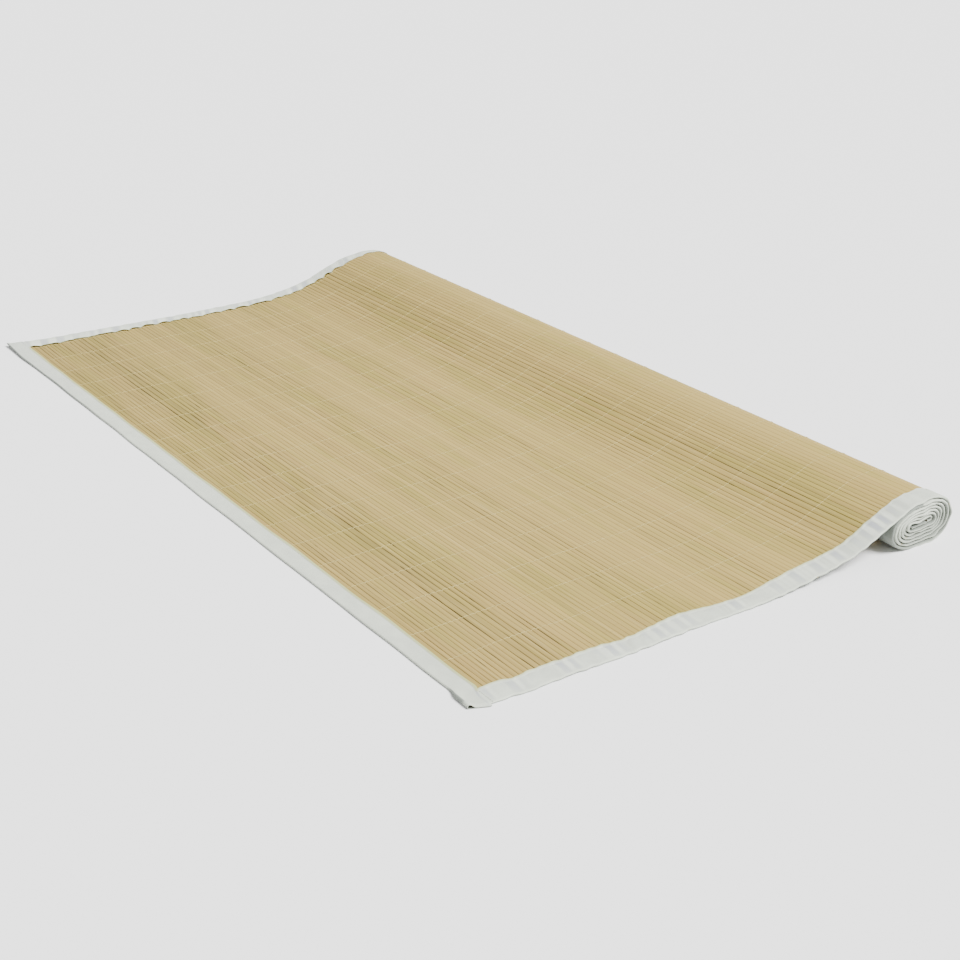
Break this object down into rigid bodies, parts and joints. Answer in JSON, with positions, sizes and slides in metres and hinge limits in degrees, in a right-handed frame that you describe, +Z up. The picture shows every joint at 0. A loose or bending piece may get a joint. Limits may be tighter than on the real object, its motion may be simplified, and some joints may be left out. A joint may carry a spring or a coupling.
{
  "type": "bamboo rug",
  "caption": "Flat rug of narrow bamboo slats on warp threads, with pale cloth bindings folded over its edges, one end rolled up into a flattened roll.",
  "frame": {"origin": "on the floor, under the middle of the rug as it lies half rolled", "axes": "+X along the slats, +Y from the near edge to the roll, +Z up"},
  "size_m": [1.2119, 0.6546, 0.0562],
  "materials": {
    "bamboo": "satin",
    "binding": "matte",
    "thread": "matte"
  },
  "bodies": {
    "root": {"slat_mat": "bamboo", "side_binding_right": "binding", "side_binding_left": "binding", "near_binding": "binding", "core_binding": "binding"}
  },
  "joints": []
}
